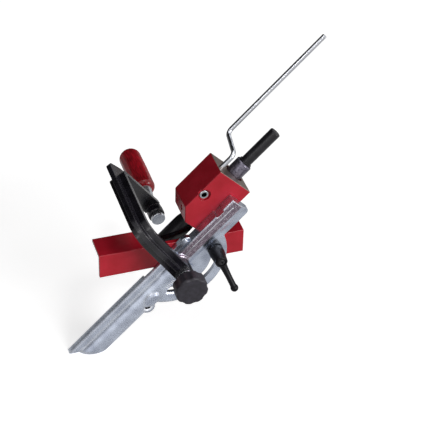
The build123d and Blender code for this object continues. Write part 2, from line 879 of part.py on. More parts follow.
# Flat washer under the knob
with BuildPart() as knob_washer:
    washer_points = tube_points(
        pivot_bolt_radius + running,
        washer_radius,
        -knob_washer_back - washer_thickness,
        -knob_washer_back,
    )
    revolve(half_section(pivot_section, washer_points), axis=pivot_axis)
finish_part(knob_washer, "knob_washer")

# Lobed knob, moulded round its insert
with BuildPart() as clamp_knob:
    with BuildSketch(front_plane(knob_back)):
        with Locations((pivot_x, pivot_z)):
            Circle(knob_hub_radius)
    extrude(amount=knob_hub_length)
    with BuildSketch(front_plane(knob_back + knob_hub_length)) as knob_outline:
        with Locations((pivot_x, pivot_z)):
            Circle(knob_radius)
            scallop_offset = knob_radius + knob_scallop_radius - knob_scallop_depth
            with PolarLocations(scallop_offset, knob_lobes, start_angle=knob_first_scallop):
                Circle(knob_scallop_radius, mode=Mode.SUBTRACT)
        fillet(knob_outline.vertices(), radius=knob_lobe_round)
    extrude(amount=knob_front - knob_back - knob_hub_length)
    knob_face = clamp_knob.faces().sort_by(Axis.Y)[0]
    fillet(knob_face.edges(), radius=knob_edge)
    insert_seat = tube_points(0, insert_radius, -knob_back - insert_length, -knob_back)
    revolve(half_section(pivot_section, insert_seat), axis=pivot_axis, mode=Mode.SUBTRACT)
    bolt_room = tube_points(0, pivot_bolt_radius + gap, -pivot_bolt_length - past, -knob_back)
    revolve(half_section(pivot_section, bolt_room), axis=pivot_axis, mode=Mode.SUBTRACT)
finish_part(clamp_knob, "clamp_knob")

# Threaded insert in the knob
with BuildPart() as knob_insert:
    insert_points = tube_points(
        pivot_bolt_radius + running, insert_radius, -knob_back - insert_length, -knob_back
    )
    revolve(half_section(pivot_section, insert_points), axis=pivot_axis)
finish_part(knob_insert, "knob_insert")

# Clamp screw, with a grooved tip for the pad and a riveted tang for the handle
end_washer_y = handle_far_y - end_washer_sunk
with BuildPart() as clamp_screw:
    tip_y = pad_face_y + pad_floor + gap
    shoulder_y = screw_boss_front_y
    clamp_screw_points = [
        (0, tip_y),
        (screw_tip_radius - edge_break, tip_y),
        (screw_tip_radius, tip_y + edge_break),
        (screw_tip_radius, ring_y - loose),
        (ring_groove_radius, ring_y - loose),
        (ring_groove_radius, ring_y + ring_thickness + loose),
        (screw_tip_radius, ring_y + ring_thickness + loose),
        (screw_tip_radius, shoulder_y),
        (screw_radius, shoulder_y),
        (screw_radius, screw_rear_y),
        (tang_radius, screw_rear_y),
        (tang_radius, end_washer_y),
        (tang_radius + rivet_flare, end_washer_y),
        (tang_radius + rivet_crown_flare, end_washer_y + rivet_edge),
        (0, end_washer_y + rivet_height),
    ]
    revolve(half_section(pivot_section, clamp_screw_points), axis=pivot_axis)
finish_part(clamp_screw, "clamp_screw")

# Swivel pad on the screw's tip
with BuildPart() as pressure_pad:
    pad_points = [
        (0, pad_face_y),
        (pad_radius - pad_edge, pad_face_y),
        (pad_radius, pad_face_y + pad_edge),
        (pad_radius, pad_face_y + pad_rim),
        (pad_neck_radius, pad_face_y + pad_rim + pad_shoulder),
        (pad_neck_radius, pad_back_y),
        (screw_tip_radius + loose, pad_back_y),
        (screw_tip_radius + loose, ring_y + ring_thickness),
        (ring_seat_radius, ring_y + ring_thickness),
        (ring_seat_radius, ring_y),
        (screw_tip_radius + loose, ring_y),
        (screw_tip_radius + loose, pad_face_y + pad_floor),
        (0, pad_face_y + pad_floor),
    ]
    revolve(half_section(pivot_section, pad_points), axis=pivot_axis)
finish_part(pressure_pad, "pressure_pad")

# Wire ring that holds the pad on the screw
with BuildPart() as pad_ring:
    pad_ring_points = tube_points(
        ring_groove_radius + running, ring_seat_radius, ring_y, ring_y + ring_thickness
    )
    revolve(half_section(pivot_section, pad_ring_points), axis=pivot_axis)
finish_part(pad_ring, "pad_ring")

# Turned wooden handle with rounded ends, bored for the screw's tang
with BuildPart() as wooden_handle:
    with BuildSketch(pivot_section) as handle_half:
        with BuildLine():
            FilletPolyline(
                (0, handle_near_y),
                (handle_radius - handle_waist, handle_near_y),
                (handle_radius, (handle_near_y + handle_far_y) / 2),
                (handle_radius - handle_waist, handle_far_y),
                (0, handle_far_y),
                radius=(handle_near_round, handle_belly_radius, handle_far_round),
            )
            Line((0, handle_far_y), (0, handle_near_y))
        make_face()
    revolve(axis=pivot_axis)
    ferrule_socket = tube_points(0, ferrule_radius, handle_near_y - past, handle_near_y + ferrule_in_handle)
    revolve(half_section(pivot_section, ferrule_socket), axis=pivot_axis, mode=Mode.SUBTRACT)
    tang_socket = tube_points(0, tang_radius, screw_rear_y, handle_far_y + past)
    revolve(half_section(pivot_section, tang_socket), axis=pivot_axis, mode=Mode.SUBTRACT)
    seat_y = end_washer_y - end_washer_thickness
    washer_seat = tube_points(0, end_washer_radius, seat_y, handle_far_y + past)
    revolve(half_section(pivot_section, washer_seat), axis=pivot_axis, mode=Mode.SUBTRACT)
finish_part(wooden_handle, "wooden_handle")

# Tapered steel ferrule between the screw's shoulder and the wood
with BuildPart() as handle_ferrule:
    ferrule_points = [
        (tang_radius, screw_rear_y),
        (screw_radius, screw_rear_y),
        (screw_radius, ferrule_front_y),
        (ferrule_tip_radius - ferrule_edge, ferrule_front_y),
        (ferrule_tip_radius, ferrule_front_y + ferrule_edge),
        (ferrule_radius, handle_near_y - ferrule_rim),
        (ferrule_radius, handle_near_y + ferrule_in_handle),
        (tang_radius, handle_near_y + ferrule_in_handle),
    ]
    revolve(half_section(pivot_section, ferrule_points), axis=pivot_axis)
finish_part(handle_ferrule, "handle_ferrule")

# Small washer under the riveted end of the tang
with BuildPart() as handle_end_washer:
    end_washer_points = tube_points(
        tang_radius, end_washer_radius, end_washer_y - end_washer_thickness, end_washer_y
    )
    revolve(half_section(pivot_section, end_washer_points), axis=pivot_axis)
finish_part(handle_end_washer, "handle_end_washer")

# Flat washer under the clamping lever
with BuildPart() as lever_washer:
    lever_washer_points = tube_points(
        stud_radius + running,
        lever_washer_radius,
        -lever_washer_back - lever_washer_thickness,
        -lever_washer_back,
    )
    revolve(half_section(stud_section, lever_washer_points), axis=stud_axis)
finish_part(lever_washer, "lever_washer")

# Threaded insert of the lever: a serrated drum with a tapped end for the lever's screw
with BuildPart() as lever_insert:
    drum = tube_points(0, lever_insert_radius, -lever_insert_front, -lever_insert_back)
    revolve(half_section(stud_section, drum), axis=stud_axis)
    stud_room = tube_points(0, stud_radius + running, -stud_length - past, -lever_insert_back + past)
    revolve(half_section(stud_section, stud_room), axis=stud_axis, mode=Mode.SUBTRACT)
    screw_room = tube_points(0, lever_screw_radius, -lever_insert_front - past, -lever_screw_end + gap)
    revolve(half_section(stud_section, screw_room), axis=stud_axis, mode=Mode.SUBTRACT)
finish_part(lever_insert, "lever_insert")


def lever_point(reach, height):
    a = radians(lever_angle)
    return Vector(stud_x + reach * cos(a), -height, stud_z + reach * sin(a))


# Lever handle: a hollow hub with a cranked arm and a ball end
with BuildPart() as lever_handle:
    hub_points = [
        (0, -lever_hub_back),
        (lever_hub_base_radius, -lever_hub_back),
        (lever_hub_base_radius, -lever_hub_back - lever_hub_base_length),
        (lever_hub_top_radius, -lever_hub_front + lever_hub_edge),
        (lever_hub_top_radius - lever_hub_edge, -lever_hub_front),
        (0, -lever_hub_front),
    ]
    revolve(half_section(stud_section, hub_points), axis=stud_axis)
    arm_stations = [*lever_arm_stations, (lever_reach, lever_tip_height, lever_tip_radius)]
    for index, (reach, height, radius) in enumerate(arm_stations):
        before = arm_stations[max(index - 1, 0)]
        after = arm_stations[min(index + 1, len(arm_stations) - 1)]
        along = lever_point(after[0], after[1]) - lever_point(before[0], before[1])
        with BuildSketch(Plane(origin=lever_point(reach, height), z_dir=along)):
            Circle(radius)
    loft()
    with Locations(lever_point(lever_reach, lever_tip_height)):
        Sphere(lever_ball_radius)
    drum_front = lever_insert_front + gap
    drum_room = tube_points(0, lever_insert_radius + loose, -drum_front, -lever_hub_back + past)
    revolve(half_section(stud_section, drum_room), axis=stud_axis, mode=Mode.SUBTRACT)
    shoulder_front = drum_front + lever_shoulder
    screw_way_radius = lever_screw_radius + lever_screw_clearance
    screw_way = tube_points(0, screw_way_radius, -shoulder_front - past, -lever_insert_front + past)
    revolve(half_section(stud_section, screw_way), axis=stud_axis, mode=Mode.SUBTRACT)
    head_room_radius = lever_screw_head_radius + lever_screw_head_clearance
    head_room = tube_points(0, head_room_radius, -lever_hub_front - past, -shoulder_front)
    revolve(half_section(stud_section, head_room), axis=stud_axis, mode=Mode.SUBTRACT)
finish_part(lever_handle, "lever_handle")

# Screw that holds the lever handle on its insert
with BuildPart() as lever_screw:
    lever_screw_front = lever_hub_front - lever_screw_sunk
    lever_screw_points = [
        (0, -lever_screw_end),
        (lever_screw_radius, -lever_screw_end),
        (lever_screw_radius, -lever_screw_head_back),
        (lever_screw_head_radius, -lever_screw_head_back),
        (lever_screw_head_radius, -lever_screw_front + edge_break),
        (lever_screw_head_radius - edge_break, -lever_screw_front),
        (0, -lever_screw_front),
    ]
    revolve(half_section(stud_section, lever_screw_points), axis=stud_axis)
    with BuildSketch(front_plane(lever_screw_front)):
        with Locations((stud_x, stud_z)):
            RegularPolygon(radius=lever_screw_socket / 2, side_count=6, major_radius=False)
    extrude(amount=-lever_screw_socket_depth, mode=Mode.SUBTRACT)
finish_part(lever_screw, "lever_screw")

# Flat-wire spring that pulls the lever handle back on to its insert
with BuildPart() as lever_spring:
    spring_back = shoulder_front + lever_spring_wire + loose
    spring_front = lever_screw_head_back - lever_spring_wire - loose
    spring_height = spring_front - spring_back
    spring_radius = (lever_screw_radius + lever_screw_head_radius) / 2 + loose
    with BuildLine() as coil:
        Helix(
            pitch=spring_height / lever_spring_turns,
            height=spring_height,
            radius=spring_radius,
            center=(stud_x, -spring_back, stud_z),
            direction=(0, -1, 0),
        )
    with BuildSketch(Plane(origin=coil.line @ 0, z_dir=coil.line % 0)):
        Rectangle(2 * lever_spring_wire, 2 * lever_spring_wire)
    sweep(path=coil.line, is_frenet=True)
finish_part(lever_spring, "lever_spring")
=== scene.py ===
import math

import bmesh
import bpy
from mathutils import Euler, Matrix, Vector


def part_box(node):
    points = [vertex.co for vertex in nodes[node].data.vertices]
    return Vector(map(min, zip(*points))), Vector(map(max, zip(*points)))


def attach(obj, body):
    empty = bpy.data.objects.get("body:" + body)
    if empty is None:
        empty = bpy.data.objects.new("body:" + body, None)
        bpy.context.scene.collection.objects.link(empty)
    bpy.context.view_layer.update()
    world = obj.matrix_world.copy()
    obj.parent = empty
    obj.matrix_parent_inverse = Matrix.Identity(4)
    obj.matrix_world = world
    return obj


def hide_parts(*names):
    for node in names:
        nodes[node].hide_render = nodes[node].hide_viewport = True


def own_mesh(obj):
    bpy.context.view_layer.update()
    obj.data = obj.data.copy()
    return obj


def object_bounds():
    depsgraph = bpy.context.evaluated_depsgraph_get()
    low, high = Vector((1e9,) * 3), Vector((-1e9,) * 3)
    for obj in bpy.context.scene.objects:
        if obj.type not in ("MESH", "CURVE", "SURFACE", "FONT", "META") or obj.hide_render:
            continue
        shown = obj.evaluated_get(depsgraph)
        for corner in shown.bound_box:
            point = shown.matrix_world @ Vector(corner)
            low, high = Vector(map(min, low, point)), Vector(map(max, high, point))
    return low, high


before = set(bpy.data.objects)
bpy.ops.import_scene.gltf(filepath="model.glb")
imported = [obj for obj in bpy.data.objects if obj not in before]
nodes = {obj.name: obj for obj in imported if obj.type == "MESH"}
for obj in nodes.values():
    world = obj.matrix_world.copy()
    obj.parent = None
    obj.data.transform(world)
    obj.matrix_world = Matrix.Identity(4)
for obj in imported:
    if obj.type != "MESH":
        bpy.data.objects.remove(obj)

cadBox = [list(corner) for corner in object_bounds()]
drillAngle = math.radians(45)

# sockets of a Mix node, whose names repeat: colours in and out, then numbers in
colourA, colourB, colourOut = 6, 7, 2
numberA, numberB = 2, 3


# helpers

def hexColour(code):  # sRGB hex to linear RGBA
    channels = [int(code[i:i + 2], 16) / 255 for i in (1, 3, 5)]
    return tuple(c / 12.92 if c <= 0.04045 else ((c + 0.055) / 1.055) ** 2.4 for c in channels) + (1.0,)


def metres(sizeMm):
    return sizeMm / 1000


def perMetre(sizeMm):  # texture scale at which one feature is sizeMm wide
    return 1000.0 / sizeMm


def setInputs(tree, node, inputs):
    for name, value in inputs.items():
        if isinstance(value, bpy.types.NodeSocket):
            tree.links.new(value, node.inputs[name])
        else:
            node.inputs[name].default_value = value


def addNode(tree, kind, inputs=None, stops=None, **settings):
    node = tree.nodes.new(kind)
    for name, value in settings.items():
        setattr(node, name, value)
    if stops:
        ramp = node.color_ramp.elements
        while len(ramp) < len(stops):
            ramp.new(1.0)
        for element, (place, colour) in zip(ramp, stops):
            element.position = place
            element.color = hexColour(colour)
    setInputs(tree, node, inputs or {})
    return node


def emptyTree(owner):  # a material or a world, its node tree cleared
    owner.use_nodes = True
    owner.node_tree.nodes.clear()
    return owner.node_tree


def startMaterial(name):
    material = bpy.data.materials.new(name)
    tree = emptyTree(material)
    place = addNode(tree, "ShaderNodeTexCoord").outputs["Object"]
    shader = addNode(tree, "ShaderNodeBsdfPrincipled")
    addNode(tree, "ShaderNodeOutputMaterial", {"Surface": shader.outputs[0]})
    return material, tree, place, shader


def dress(material, *names):
    for name in names:
        node = nodes[name]
        node.data.materials.clear()
        node.data.materials.append(material)


def drillPoint(u, v, y):  # millimetres along and across the drilling axis, to metres
    return Vector((
        metres(u * math.cos(drillAngle) - v * math.sin(drillAngle)),
        metres(y),
        metres(u * math.sin(drillAngle) + v * math.cos(drillAngle)),
    ))


def alongY(name):  # a CAD node's middle in x and z, its front and its back, in millimetres
    low, high = [corner * 1000 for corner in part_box(name)]
    return ((low.x + high.x) / 2, (low.z + high.z) / 2), low.y, high.y


def addToScene(name, data):
    thing = bpy.data.objects.new(name, data)
    bpy.context.scene.collection.objects.link(thing)
    return thing


# camera, at the photograph's viewing angle

camera = {
    "place": (-0.418131, -1.330483, 1.15092),
    "turn": (51.565, -1.4138, -17.948),  # degrees
    "lens": 124.088,
    "sensorWidth": 36,
    "clipStart": 0.05,
    "clipEnd": 50,
}
cameraData = bpy.data.cameras.new("camera")
cameraData.lens = camera["lens"]
cameraData.sensor_width = camera["sensorWidth"]
cameraData.clip_start = camera["clipStart"]
cameraData.clip_end = camera["clipEnd"]
cameraObject = addToScene("camera", cameraData)
cameraObject.location = camera["place"]
cameraObject.rotation_euler = Euler([math.radians(a) for a in camera["turn"]], "XYZ")
bpy.context.scene.camera = cameraObject
print("camera set")

# studio: white floor, soft key from the front right, two small lamps, cards that only reflections see

studio = {
    "floorGap": 0.0003,  # under the object's lowest point
    "floorSize": 12.0,
    "floorColour": "#DADADA",
    "floorRoughness": 0.9,
    "floorGlow": 0.69,  # lifts the floor to white for the camera and for reflections
    "surround": 0.16,  # soft light from all round
    "keyStrength": 2.4,
    "keyFrom": (0.5, -0.8, 0.36),
    "keySpread": 35,  # degrees
    "cardLift": 0.001,  # off the floor, for the cards that lie on it
}
floorHeight = cadBox[0][2] - studio["floorGap"]
justAboveFloor = floorHeight + studio["cardLift"]
white = hexColour("#FFFFFF")
lamps = [  # name, power, size, place; both look at the origin
    ("topLamp", 3.6, 0.35, (0.3, -0.15, 1.6)),
    ("sideLamp", 1.0, 0.14, (-0.87, -1.0, 0.87)),
]
cards = [  # name, brightness, width, depth, place, what it faces
    ("blackCardBehind", 0.02, 4.4, 3.0, (-0.2, 1.5, 1.1), (0, 0, 0.2)),
    ("greyCardInFront", 0.62, 3.2, 2.6, (0, -0.9, justAboveFloor), None),
    ("blackCardLeft", 0.12, 2.2, 2.6, (-2.2, 0.2, 0.6), (0, 0, 0.1)),
    ("greyCardLow", 0.32, 0.9, 0.36, (-0.78, 0.78, 0.03), (0, 0, 0.03)),
    ("whiteCardRight", 1.2, 1.2, 1.2, (2.2, -0.5, 0.3), (0, 0, 0.1)),
    ("blackCardOnFloor", 0.2, 3.6, 2.4, (0, 1.62, justAboveFloor), None),
]
bpy.context.scene.view_settings.view_transform = "Standard"


def seenDirectly(tree):  # 1 for camera, glossy and transmission rays, 0 for the light that falls on things
    path = addNode(tree, "ShaderNodeLightPath")
    seen = addNode(tree, "ShaderNodeMath", {
        0: path.outputs["Is Camera Ray"], 1: path.outputs["Is Glossy Ray"]}, operation="ADD")
    seen = addNode(tree, "ShaderNodeMath", {
        0: seen.outputs[0], 1: path.outputs["Is Transmission Ray"]}, operation="ADD", use_clamp=True)
    return seen.outputs[0]


def addPlane(name, sizeX, sizeY, place, facing=None):
    mesh = bpy.data.meshes.new(name)
    x, y = sizeX / 2, sizeY / 2
    mesh.from_pydata([(-x, -y, 0), (x, -y, 0), (x, y, 0), (-x, y, 0)], [], [(0, 1, 2, 3)])
    plane = addToScene(name, mesh)
    plane.location = place
    if facing:
        plane.rotation_euler = (Vector(facing) - Vector(place)).to_track_quat("Z", "Y").to_euler()
    return plane


world = bpy.data.worlds.new("studio")
bpy.context.scene.world = world
tree = emptyTree(world)
strength = addNode(tree, "ShaderNodeMapRange", {
    "Value": seenDirectly(tree), "To Min": studio["surround"], "To Max": 1.0})
surround = addNode(tree, "ShaderNodeBackground", {"Color": white, "Strength": strength.outputs[0]})
addNode(tree, "ShaderNodeOutputWorld", {"Surface": surround.outputs[0]})

floor = addPlane("floor", studio["floorSize"], studio["floorSize"], (0, 0, floorHeight))
paper = bpy.data.materials.new("paintedBoardWhite")  # flat emulsion: no gloss, only a soft shadow
tree = emptyTree(paper)
glow = addNode(tree, "ShaderNodeMath", {0: seenDirectly(tree), 1: studio["floorGlow"]}, operation="MULTIPLY")
board = addNode(tree, "ShaderNodeBsdfPrincipled", {
    "Base Color": hexColour(studio["floorColour"]), "Roughness": studio["floorRoughness"],
    "Specular IOR Level": 0.0, "Emission Color": white, "Emission Strength": glow.outputs[0]})
addNode(tree, "ShaderNodeOutputMaterial", {"Surface": board.outputs[0]})
floor.data.materials.append(paper)

for name, brightness, width, depth, place, facing in cards:
    card = addPlane(name, width, depth, place, facing)
    felt = bpy.data.materials.new(name + "Felt")
    tree = emptyTree(felt)
    shade = addNode(tree, "ShaderNodeEmission", {"Color": white, "Strength": brightness})
    addNode(tree, "ShaderNodeOutputMaterial", {"Surface": shade.outputs[0]})
    card.data.materials.append(felt)
    card.visible_camera = card.visible_diffuse = card.visible_shadow = card.visible_transmission = False

keyData = bpy.data.lights.new("keyLamp", "SUN")
keyData.energy = studio["keyStrength"]
keyData.angle = math.radians(studio["keySpread"])
keyLamp = addToScene("keyLamp", keyData)
keyLamp.rotation_euler = Vector(studio["keyFrom"]).to_track_quat("Z", "Y").to_euler()

for name, power, size, place in lamps:
    lampData = bpy.data.lights.new(name, "AREA")
    lampData.size = size
    lampData.energy = power
    lamp = addToScene(name, lampData)
    lamp.location = place
    lamp.rotation_euler = Vector(place).to_track_quat("Z", "Y").to_euler()
print("studio set")


# materials

# the mask below paints edges lighter in every finish: partly rubbed wear, partly a painted highlight
def edgeMaskAndRounding(tree, radius):  # 1 along sharp edges, 0 on the faces, and the rounded normal
    flattest, sharpest = 0.985, 0.8  # cosines of how far the rounded normal leans away
    rounded = addNode(tree, "ShaderNodeBevel", {"Radius": radius}, samples=6)
    true = addNode(tree, "ShaderNodeNewGeometry")
    along = addNode(tree, "ShaderNodeVectorMath", {
        0: rounded.outputs[0], 1: true.outputs["Normal"]}, operation="DOT_PRODUCT")
    mask = addNode(tree, "ShaderNodeMapRange", {
        "Value": along.outputs["Value"], "From Min": flattest, "From Max": sharpest})
    return mask.outputs[0], rounded.outputs[0]


def farFrom(tree, place, middle, keep):  # distance from a line through middle; keep is 0 along the line
    aside = addNode(tree, "ShaderNodeVectorMath", {0: place, 1: middle}, operation="SUBTRACT")
    flat = addNode(tree, "ShaderNodeVectorMath", {0: aside.outputs[0], 1: keep}, operation="MULTIPLY")
    reach = addNode(tree, "ShaderNodeVectorMath", {0: flat.outputs[0]}, operation="LENGTH")
    return reach.outputs["Value"]


def redEnamel(name, sawnEnd=None):  # sawnEnd is how far up the drilling axis a bare end lies, in metres
    # stove enamel sprayed on steel: a deep even red, lighter at the edges, partly thin enamel and partly a
    # painted highlight, glossy with a faint orange peel
    look = {"deep": "#A51323", "light": "#B71D2F", "thinAndHighlitEdge": "#C4485A", "patchMm": 26, "scuffMm": 3.5,
            "peelMm": 1.8, "peelStrength": 0.15, "peelDepthMm": 0.3, "edgeMm": 0.7,
            "roughness": 0.2, "smoother": 0.05, "rougher": 0.12, "specular": 0.3}
    sawn = {"dark": "#6A5C55", "light": "#9C8F86", "rubbedAndHighlit": "#D8CFCB", "sawMm": 1.1, "sawStretch": 18,
            "deepMm": 0.2, "raggedMm": 0.9, "fadeMm": 0.2, "roughness": 0.4}
    material, tree, place, shader = startMaterial(name)
    patch = addNode(tree, "ShaderNodeTexNoise", {
        "Vector": place, "Scale": perMetre(look["patchMm"]), "Detail": 3.0})
    colour = addNode(tree, "ShaderNodeValToRGB", {"Fac": patch.outputs["Fac"]},
                     stops=[(0.35, look["deep"]), (0.7, look["light"])])
    scuff = addNode(tree, "ShaderNodeTexNoise", {
        "Vector": place, "Scale": perMetre(look["scuffMm"]), "Detail": 5.0, "Roughness": 0.7})
    edge, rounded = edgeMaskAndRounding(tree, metres(look["edgeMm"]))
    broken = addNode(tree, "ShaderNodeMath", {0: scuff.outputs["Fac"], 1: edge}, operation="MULTIPLY")
    # edges painted a lighter red: partly thin enamel, partly a painted highlight
    edgeWornAndLit = addNode(tree, "ShaderNodeMix", {
        "Factor": broken.outputs[0], colourA: colour.outputs[0], colourB: hexColour(look["thinAndHighlitEdge"])},
        data_type="RGBA")
    peel = addNode(tree, "ShaderNodeTexNoise", {
        "Vector": place, "Scale": perMetre(look["peelMm"]), "Detail": 1.0})
    gloss = addNode(tree, "ShaderNodeMapRange", {
        "Value": scuff.outputs["Fac"],
        "To Min": look["roughness"] - look["smoother"], "To Max": look["roughness"] + look["rougher"]})
    bump = addNode(tree, "ShaderNodeBump", {
        "Height": peel.outputs["Fac"], "Strength": look["peelStrength"],
        "Distance": metres(look["peelDepthMm"]), "Normal": rounded})
    setInputs(tree, shader, {
        "Base Color": edgeWornAndLit.outputs[colourOut], "Roughness": gloss.outputs[0],
        "Normal": bump.outputs[0], "Specular IOR Level": look["specular"]})
    if sawnEnd is None:
        return material
    # the block's top end was sawn after painting: bare brownish steel, its rim painted bright, partly rubbed
    # and partly a painted highlight
    split = addNode(tree, "ShaderNodeSeparateXYZ", {0: place})
    along = addNode(tree, "ShaderNodeMath", {0: split.outputs[0], 1: split.outputs[2]}, operation="ADD")
    ragged = addNode(tree, "ShaderNodeMath", {
        0: scuff.outputs["Fac"], 1: metres(sawn["raggedMm"]), 2: along.outputs[0]}, operation="MULTIPLY_ADD")
    start = (sawnEnd - metres(sawn["deepMm"])) * math.sqrt(2)
    bare = addNode(tree, "ShaderNodeMapRange", {
        "Value": ragged.outputs[0], "From Min": start, "From Max": start + metres(sawn["fadeMm"])})
    drawn = addNode(tree, "ShaderNodeMapping", {"Vector": place, "Scale": (1, 1 / sawn["sawStretch"], 1)})
    marks = addNode(tree, "ShaderNodeTexNoise", {
        "Vector": drawn.outputs[0], "Scale": perMetre(sawn["sawMm"]), "Detail": 4.0})
    steel = addNode(tree, "ShaderNodeValToRGB", {"Fac": marks.outputs["Fac"]},
                    stops=[(0.32, sawn["dark"]), (0.68, sawn["light"])])
    # the rim of the bare end is painted bright: partly rubbed, partly a painted highlight
    rubbedAndHighlit = addNode(tree, "ShaderNodeMix", {
        "Factor": edge, colourA: steel.outputs[0], colourB: hexColour(sawn["rubbedAndHighlit"])}, data_type="RGBA")
    both = addNode(tree, "ShaderNodeMix", {
        "Factor": bare.outputs[0], colourA: edgeWornAndLit.outputs[colourOut], colourB: rubbedAndHighlit.outputs[colourOut]},
        data_type="RGBA")
    dull = addNode(tree, "ShaderNodeMix", {
        "Factor": bare.outputs[0], numberA: gloss.outputs[0], numberB: sawn["roughness"]})
    setInputs(tree, shader, {
        "Base Color": both.outputs[colourOut], "Roughness": dull.outputs[0], "Metallic": bare.outputs[0]})
    return material


def castSilumin(name):
    # aluminium-silicon casting, tumbled: cool bluish silver with soft broad highlights and a fine sandy skin,
    # its raised bar face left as cast in a ruled die, so duller and faintly hatched
    look = {"dark": "#AAB1C2", "light": "#D2DAEA", "rubbedAndHighlit": "#E4E8F0", "edgeMm": 1.8,
            "swellMm": 16, "swellStrength": 0.2, "swellDepthMm": 1.5,
            "grainMm": 0.7, "grainStrength": 0.1, "grainDepthMm": 0.2,
            "roughness": 0.25, "smoother": 0.05, "rougher": 0.1}
    bar = {"dark": "#756875", "light": "#D0C4D0", "rougher": 0.12,
           "from": -13.2, "to": 3.2, "front": -17.3, "low": -16,
           "hatchScatter": 0.35, "hatchStrength": 0.5, "hatchDepthMm": 0.3,
           "hatchMm": 2.2}  # the hatch is drawn coarser than the real one, so that it shows at all
    limb = {"from": -50, "fadeMm": 10, "edgeMm": 6.0}
    # boss: a pale ring round the hole, partly faced finish and partly painted highlight, and a hole painted
    # dark as shade
    boss = {"along": -92.0, "across": -26.5, "holeMm": 3.7, "facedAndHighlitMm": 6.4,
            "hole": "#1E1C22", "facedAndHighlit": "#F2F5FC", "metallic": 0.55}
    material, tree, place, shader = startMaterial(name)
    swell = addNode(tree, "ShaderNodeTexNoise", {
        "Vector": place, "Scale": perMetre(look["swellMm"]), "Detail": 3.0, "Roughness": 0.45})
    grain = addNode(tree, "ShaderNodeTexNoise", {
        "Vector": place, "Scale": perMetre(look["grainMm"]), "Detail": 2.0})
    colour = addNode(tree, "ShaderNodeValToRGB", {"Fac": swell.outputs["Fac"]},
                     stops=[(0.3, look["dark"]), (0.7, look["light"])])
    turned = addNode(tree, "ShaderNodeVectorRotate", {
        "Vector": place, "Angle": drillAngle}, rotation_type="Y_AXIS")
    split = addNode(tree, "ShaderNodeSeparateXYZ", {0: turned.outputs[0]})  # X along the bar, Z across it
    onBar = 1.0
    for axis, operation, limit in ((2, "GREATER_THAN", "from"), (2, "LESS_THAN", "to"),
                                   (1, "LESS_THAN", "front"), (0, "GREATER_THAN", "low")):
        within = addNode(tree, "ShaderNodeMath", {
            0: split.outputs[axis], 1: metres(bar[limit])}, operation=operation)
        onBar = addNode(tree, "ShaderNodeMath", {
            0: onBar, 1: within.outputs[0]}, operation="MULTIPLY").outputs[0]
    hatch = addNode(tree, "ShaderNodeTexVoronoi", {
        "Vector": turned.outputs[0], "Scale": perMetre(bar["hatchMm"]), "Randomness": bar["hatchScatter"]})
    ruled = addNode(tree, "ShaderNodeValToRGB", {"Fac": hatch.outputs["Distance"]},
                    stops=[(0.15, bar["light"]), (0.6, bar["dark"])])
    both = addNode(tree, "ShaderNodeMix", {
        "Factor": onBar, colourA: colour.outputs[0], colourB: ruled.outputs[0]}, data_type="RGBA")
    # the limb below the knob was cast with softer shoulders than the bar
    soft = addNode(tree, "ShaderNodeMapRange", {
        "Value": split.outputs[0],
        "From Min": metres(limb["from"]), "From Max": metres(limb["from"] + limb["fadeMm"]),
        "To Min": metres(limb["edgeMm"]), "To Max": metres(look["edgeMm"])})
    edge, rounded = edgeMaskAndRounding(tree, soft.outputs[0])
    # edges painted paler: partly rubbed wear, partly a painted highlight
    rubbedAndHighlit = addNode(tree, "ShaderNodeMix", {
        "Factor": edge, colourA: both.outputs[colourOut], colourB: hexColour(look["rubbedAndHighlit"])},
        data_type="RGBA")
    # the boss was faced by a cutter, which leaves it matt; a pale, less metallic ring round its hole is a
    # painted highlight as well, and the hole is painted dark as shade
    reach = farFrom(tree, turned.outputs[0], (metres(boss["along"]), 0, metres(boss["across"])), (1, 0, 1))
    spot = addNode(tree, "ShaderNodeMath", {0: reach, 1: metres(boss["facedAndHighlitMm"])}, operation="LESS_THAN")
    hole = addNode(tree, "ShaderNodeMath", {0: reach, 1: metres(boss["holeMm"])}, operation="LESS_THAN")
    facedAndHighlit = addNode(tree, "ShaderNodeMix", {
        "Factor": spot.outputs[0], colourA: rubbedAndHighlit.outputs[colourOut], colourB: hexColour(boss["facedAndHighlit"])},
        data_type="RGBA")
    shadedHoleMix = addNode(tree, "ShaderNodeMix", {
        "Factor": hole.outputs[0], colourA: facedAndHighlit.outputs[colourOut], colourB: hexColour(boss["hole"])},
        data_type="RGBA")
    matt = addNode(tree, "ShaderNodeMath", {
        0: spot.outputs[0], 1: boss["metallic"] - 1.0, 2: 1.0}, operation="MULTIPLY_ADD")
    rough = addNode(tree, "ShaderNodeMapRange", {
        "Value": grain.outputs["Fac"],
        "To Min": look["roughness"] - look["smoother"], "To Max": look["roughness"] + look["rougher"]})
    dull = addNode(tree, "ShaderNodeMath", {
        0: onBar, 1: bar["rougher"], 2: rough.outputs[0]}, operation="MULTIPLY_ADD")
    coarse = addNode(tree, "ShaderNodeBump", {
        "Height": swell.outputs["Fac"], "Strength": look["swellStrength"],
        "Distance": metres(look["swellDepthMm"]), "Normal": rounded})
    fine = addNode(tree, "ShaderNodeBump", {
        "Height": grain.outputs["Fac"], "Strength": look["grainStrength"],
        "Distance": metres(look["grainDepthMm"]), "Normal": coarse.outputs[0]})
    pressed = addNode(tree, "ShaderNodeMath", {0: hatch.outputs["Distance"], 1: onBar}, operation="MULTIPLY")
    ribbed = addNode(tree, "ShaderNodeBump", {
        "Height": pressed.outputs[0], "Strength": bar["hatchStrength"],
        "Distance": metres(bar["hatchDepthMm"]), "Normal": fine.outputs[0]})
    setInputs(tree, shader, {
        "Base Color": shadedHoleMix.outputs[colourOut], "Metallic": matt.outputs[0],
        "Roughness": dull.outputs[0], "Normal": ribbed.outputs[0]})
    return material


